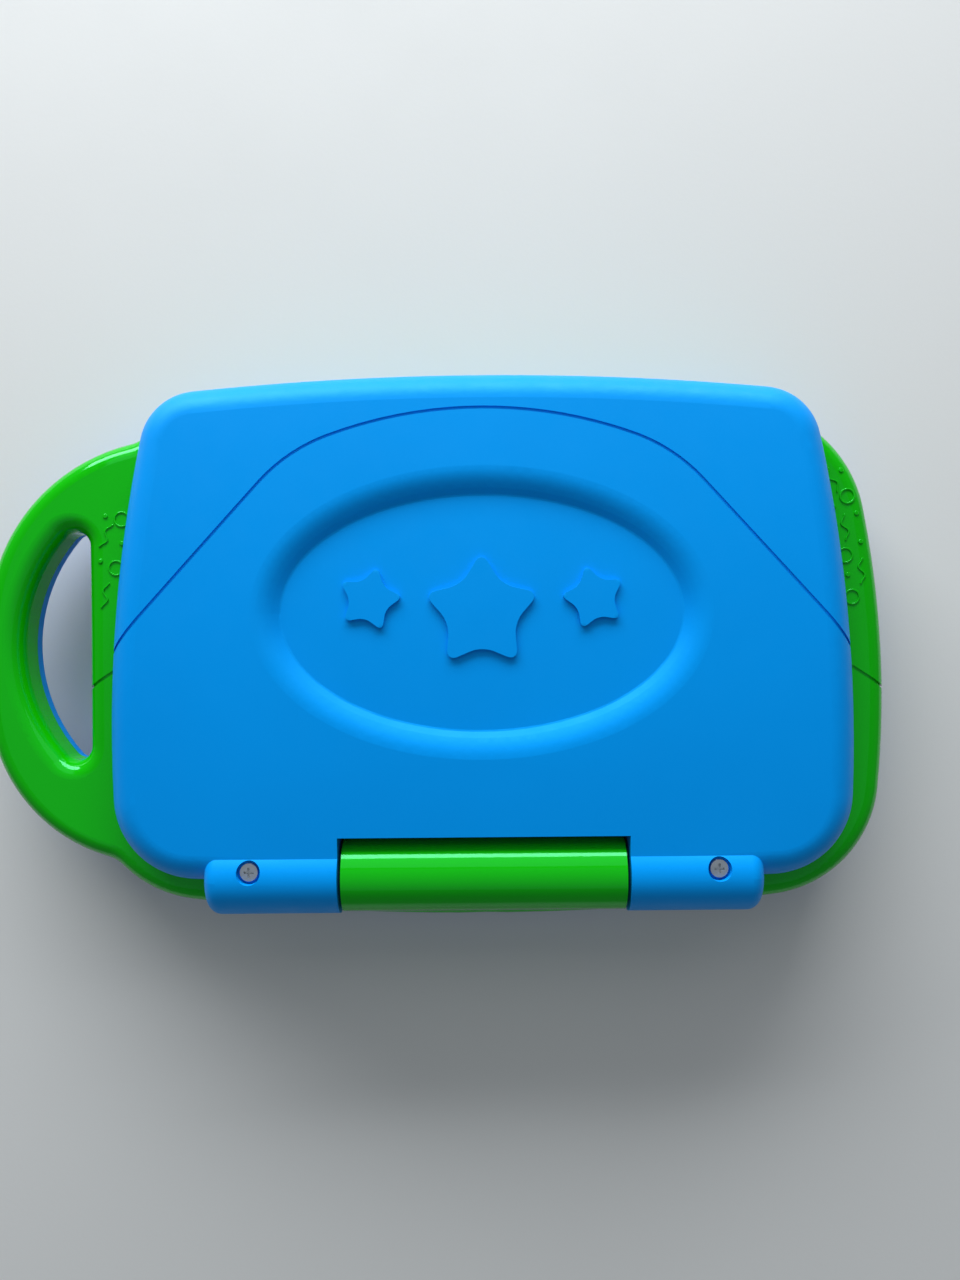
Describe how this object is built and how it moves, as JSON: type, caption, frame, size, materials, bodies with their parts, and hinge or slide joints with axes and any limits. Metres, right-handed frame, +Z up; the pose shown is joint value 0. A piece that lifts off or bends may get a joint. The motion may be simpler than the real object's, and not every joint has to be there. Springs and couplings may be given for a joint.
{
  "type": "toy laptop computer",
  "caption": "Closed toy laptop computer: satin blue lid with an oval dish, glossy green base with a carry handle on one side, and a barrel hinge along the rear.",
  "frame": {"origin": "under the middle of the whole closed object, on the table", "axes": "+X to the carry handle, +Y to the hinge, +Z up from the table"},
  "size_m": [0.2788, 0.165, 0.046],
  "materials": {
    "green_plastic": "glossy ABS",
    "blue_plastic": "satin ABS",
    "white_plastic": "satin ABS",
    "key_plastic": "satin ABS",
    "mode_plastic_1": "glossy ABS",
    "mode_plastic_2": "glossy ABS",
    "mode_plastic_3": "glossy ABS",
    "mode_plastic_4": "glossy ABS",
    "mode_plastic_5": "glossy ABS",
    "yellow_plastic": "glossy ABS",
    "black_plastic": "matt",
    "silicone": "translucent silicone",
    "black_rubber": "matt rubber",
    "cable_jacket": "matt PVC",
    "circuit_board": "solder mask",
    "lcd": "unlit LCD glass",
    "clear_lens": "clear acrylic",
    "speaker_metal": "black paint",
    "cell_can": "printed sleeve",
    "steel": "zinc plated"
  },
  "bodies": {
    "base": {"base_top_shell": "green_plastic", "base_bottom_shell": "blue_plastic", "keyboard_plate": "white_plastic", "dome_membrane": "silicone", "main_board": "circuit_board", "board_chips": "black_plastic", "board_screws": "steel", "speaker": "speaker_metal", "speaker_screws": "steel", "battery_door": "blue_plastic", "battery_door_screw": "steel", "aa_cells": "cell_can", "battery_contacts": "steel", "rubber_feet": "black_rubber", "base_screws": "steel", "power_switch": "steel", "hinge_pins": "steel", "display_cable": "cable_jacket"},
    "lid": {"lid_outer_shell": "blue_plastic", "lid_inner_bezel": "white_plastic", "screen_lens": "clear_lens", "lcd_panel": "lcd", "lcd_frame": "black_plastic", "display_board": "circuit_board", "lid_screws": "steel", "lid_bumpers": "black_rubber", "hinge_screws": "steel", "display_cable_lid_end": "cable_jacket"},
    "power_slider": {"power_slider": "yellow_plastic"},
    "key_q": {"key_q": "key_plastic"},
    "key_w": {"key_w": "key_plastic"},
    "key_e": {"key_e": "key_plastic"},
    "key_r": {"key_r": "key_plastic"},
    "key_t": {"key_t": "key_plastic"},
    "key_y": {"key_y": "key_plastic"},
    "key_u": {"key_u": "key_plastic"},
    "key_i": {"key_i": "key_plastic"},
    "key_o": {"key_o": "key_plastic"},
    "key_p": {"key_p": "key_plastic"},
    "key_a": {"key_a": "key_plastic"},
    "key_s": {"key_s": "key_plastic"},
    "key_d": {"key_d": "key_plastic"},
    "key_f": {"key_f": "key_plastic"},
    "key_g": {"key_g": "key_plastic"},
    "key_h": {"key_h": "key_plastic"},
    "key_j": {"key_j": "key_plastic"},
    "key_k": {"key_k": "key_plastic"},
    "key_l": {"key_l": "key_plastic"},
    "key_z": {"key_z": "key_plastic"},
    "key_x": {"key_x": "key_plastic"},
    "key_c": {"key_c": "key_plastic"},
    "key_v": {"key_v": "key_plastic"},
    "key_b": {"key_b": "key_plastic"},
    "key_n": {"key_n": "key_plastic"},
    "key_m": {"key_m": "key_plastic"},
    "mode_button_1": {"mode_button_1": "mode_plastic_1"},
    "mode_button_2": {"mode_button_2": "mode_plastic_2"},
    "mode_button_3": {"mode_button_3": "mode_plastic_3"},
    "mode_button_4": {"mode_button_4": "mode_plastic_4"},
    "mode_button_5": {"mode_button_5": "mode_plastic_5"}
  },
  "joints": [
    {"name": "lid_hinge", "type": "hinge", "parent": "base", "child": "lid", "pos_m": [-0.0146, 0.0675, 0.0345], "axis": [-1, 0, 0], "range_deg": [0, 120]},
    {"name": "power_slide", "type": "slide", "parent": "base", "child": "power_slider", "axis": [1, 0, 0], "range_m": [0, 0.008]},
    {"name": "key_q_press", "type": "slide", "parent": "base", "child": "key_q", "axis": [0, 0, -1], "range_m": [0, 0.0016], "stiffness_N_per_m": 350, "springref_m": -0.0005, "deforming": ["dome_membrane"]},
    {"name": "key_w_press", "type": "slide", "parent": "base", "child": "key_w", "axis": [0, 0, -1], "range_m": [0, 0.0016], "stiffness_N_per_m": 350, "springref_m": -0.0005, "deforming": ["dome_membrane"]},
    {"name": "key_e_press", "type": "slide", "parent": "base", "child": "key_e", "axis": [0, 0, -1], "range_m": [0, 0.0016], "stiffness_N_per_m": 350, "springref_m": -0.0005, "deforming": ["dome_membrane"]},
    {"name": "key_r_press", "type": "slide", "parent": "base", "child": "key_r", "axis": [0, 0, -1], "range_m": [0, 0.0016], "stiffness_N_per_m": 350, "springref_m": -0.0005, "deforming": ["dome_membrane"]},
    {"name": "key_t_press", "type": "slide", "parent": "base", "child": "key_t", "axis": [0, 0, -1], "range_m": [0, 0.0016], "stiffness_N_per_m": 350, "springref_m": -0.0005, "deforming": ["dome_membrane"]},
    {"name": "key_y_press", "type": "slide", "parent": "base", "child": "key_y", "axis": [0, 0, -1], "range_m": [0, 0.0016], "stiffness_N_per_m": 350, "springref_m": -0.0005, "deforming": ["dome_membrane"]},
    {"name": "key_u_press", "type": "slide", "parent": "base", "child": "key_u", "axis": [0, 0, -1], "range_m": [0, 0.0016], "stiffness_N_per_m": 350, "springref_m": -0.0005, "deforming": ["dome_membrane"]},
    {"name": "key_i_press", "type": "slide", "parent": "base", "child": "key_i", "axis": [0, 0, -1], "range_m": [0, 0.0016], "stiffness_N_per_m": 350, "springref_m": -0.0005, "deforming": ["dome_membrane"]},
    {"name": "key_o_press", "type": "slide", "parent": "base", "child": "key_o", "axis": [0, 0, -1], "range_m": [0, 0.0016], "stiffness_N_per_m": 350, "springref_m": -0.0005, "deforming": ["dome_membrane"]},
    {"name": "key_p_press", "type": "slide", "parent": "base", "child": "key_p", "axis": [0, 0, -1], "range_m": [0, 0.0016], "stiffness_N_per_m": 350, "springref_m": -0.0005, "deforming": ["dome_membrane"]},
    {"name": "key_a_press", "type": "slide", "parent": "base", "child": "key_a", "axis": [0, 0, -1], "range_m": [0, 0.0016], "stiffness_N_per_m": 350, "springref_m": -0.0005, "deforming": ["dome_membrane"]},
    {"name": "key_s_press", "type": "slide", "parent": "base", "child": "key_s", "axis": [0, 0, -1], "range_m": [0, 0.0016], "stiffness_N_per_m": 350, "springref_m": -0.0005, "deforming": ["dome_membrane"]},
    {"name": "key_d_press", "type": "slide", "parent": "base", "child": "key_d", "axis": [0, 0, -1], "range_m": [0, 0.0016], "stiffness_N_per_m": 350, "springref_m": -0.0005, "deforming": ["dome_membrane"]},
    {"name": "key_f_press", "type": "slide", "parent": "base", "child": "key_f", "axis": [0, 0, -1], "range_m": [0, 0.0016], "stiffness_N_per_m": 350, "springref_m": -0.0005, "deforming": ["dome_membrane"]},
    {"name": "key_g_press", "type": "slide", "parent": "base", "child": "key_g", "axis": [0, 0, -1], "range_m": [0, 0.0016], "stiffness_N_per_m": 350, "springref_m": -0.0005, "deforming": ["dome_membrane"]},
    {"name": "key_h_press", "type": "slide", "parent": "base", "child": "key_h", "axis": [0, 0, -1], "range_m": [0, 0.0016], "stiffness_N_per_m": 350, "springref_m": -0.0005, "deforming": ["dome_membrane"]},
    {"name": "key_j_press", "type": "slide", "parent": "base", "child": "key_j", "axis": [0, 0, -1], "range_m": [0, 0.0016], "stiffness_N_per_m": 350, "springref_m": -0.0005, "deforming": ["dome_membrane"]},
    {"name": "key_k_press", "type": "slide", "parent": "base", "child": "key_k", "axis": [0, 0, -1], "range_m": [0, 0.0016], "stiffness_N_per_m": 350, "springref_m": -0.0005, "deforming": ["dome_membrane"]},
    {"name": "key_l_press", "type": "slide", "parent": "base", "child": "key_l", "axis": [0, 0, -1], "range_m": [0, 0.0016], "stiffness_N_per_m": 350, "springref_m": -0.0005, "deforming": ["dome_membrane"]},
    {"name": "key_z_press", "type": "slide", "parent": "base", "child": "key_z", "axis": [0, 0, -1], "range_m": [0, 0.0016], "stiffness_N_per_m": 350, "springref_m": -0.0005, "deforming": ["dome_membrane"]},
    {"name": "key_x_press", "type": "slide", "parent": "base", "child": "key_x", "axis": [0, 0, -1], "range_m": [0, 0.0016], "stiffness_N_per_m": 350, "springref_m": -0.0005, "deforming": ["dome_membrane"]},
    {"name": "key_c_press", "type": "slide", "parent": "base", "child": "key_c", "axis": [0, 0, -1], "range_m": [0, 0.0016], "stiffness_N_per_m": 350, "springref_m": -0.0005, "deforming": ["dome_membrane"]},
    {"name": "key_v_press", "type": "slide", "parent": "base", "child": "key_v", "axis": [0, 0, -1], "range_m": [0, 0.0016], "stiffness_N_per_m": 350, "springref_m": -0.0005, "deforming": ["dome_membrane"]},
    {"name": "key_b_press", "type": "slide", "parent": "base", "child": "key_b", "axis": [0, 0, -1], "range_m": [0, 0.0016], "stiffness_N_per_m": 350, "springref_m": -0.0005, "deforming": ["dome_membrane"]},
    {"name": "key_n_press", "type": "slide", "parent": "base", "child": "key_n", "axis": [0, 0, -1], "range_m": [0, 0.0016], "stiffness_N_per_m": 350, "springref_m": -0.0005, "deforming": ["dome_membrane"]},
    {"name": "key_m_press", "type": "slide", "parent": "base", "child": "key_m", "axis": [0, 0, -1], "range_m": [0, 0.0016], "stiffness_N_per_m": 350, "springref_m": -0.0005, "deforming": ["dome_membrane"]},
    {"name": "mode_button_1_press", "type": "slide", "parent": "base", "child": "mode_button_1", "axis": [0, 0, -1], "range_m": [0, 0.0016], "stiffness_N_per_m": 350, "springref_m": -0.0005, "deforming": ["dome_membrane"]},
    {"name": "mode_button_2_press", "type": "slide", "parent": "base", "child": "mode_button_2", "axis": [0, 0, -1], "range_m": [0, 0.0016], "stiffness_N_per_m": 350, "springref_m": -0.0005, "deforming": ["dome_membrane"]},
    {"name": "mode_button_3_press", "type": "slide", "parent": "base", "child": "mode_button_3", "axis": [0, 0, -1], "range_m": [0, 0.0016], "stiffness_N_per_m": 350, "springref_m": -0.0005, "deforming": ["dome_membrane"]},
    {"name": "mode_button_4_press", "type": "slide", "parent": "base", "child": "mode_button_4", "axis": [0, 0, -1], "range_m": [0, 0.0016], "stiffness_N_per_m": 350, "springref_m": -0.0005, "deforming": ["dome_membrane"]},
    {"name": "mode_button_5_press", "type": "slide", "parent": "base", "child": "mode_button_5", "axis": [0, 0, -1], "range_m": [0, 0.0016], "stiffness_N_per_m": 350, "springref_m": -0.0005, "deforming": ["dome_membrane"]}
  ]
}
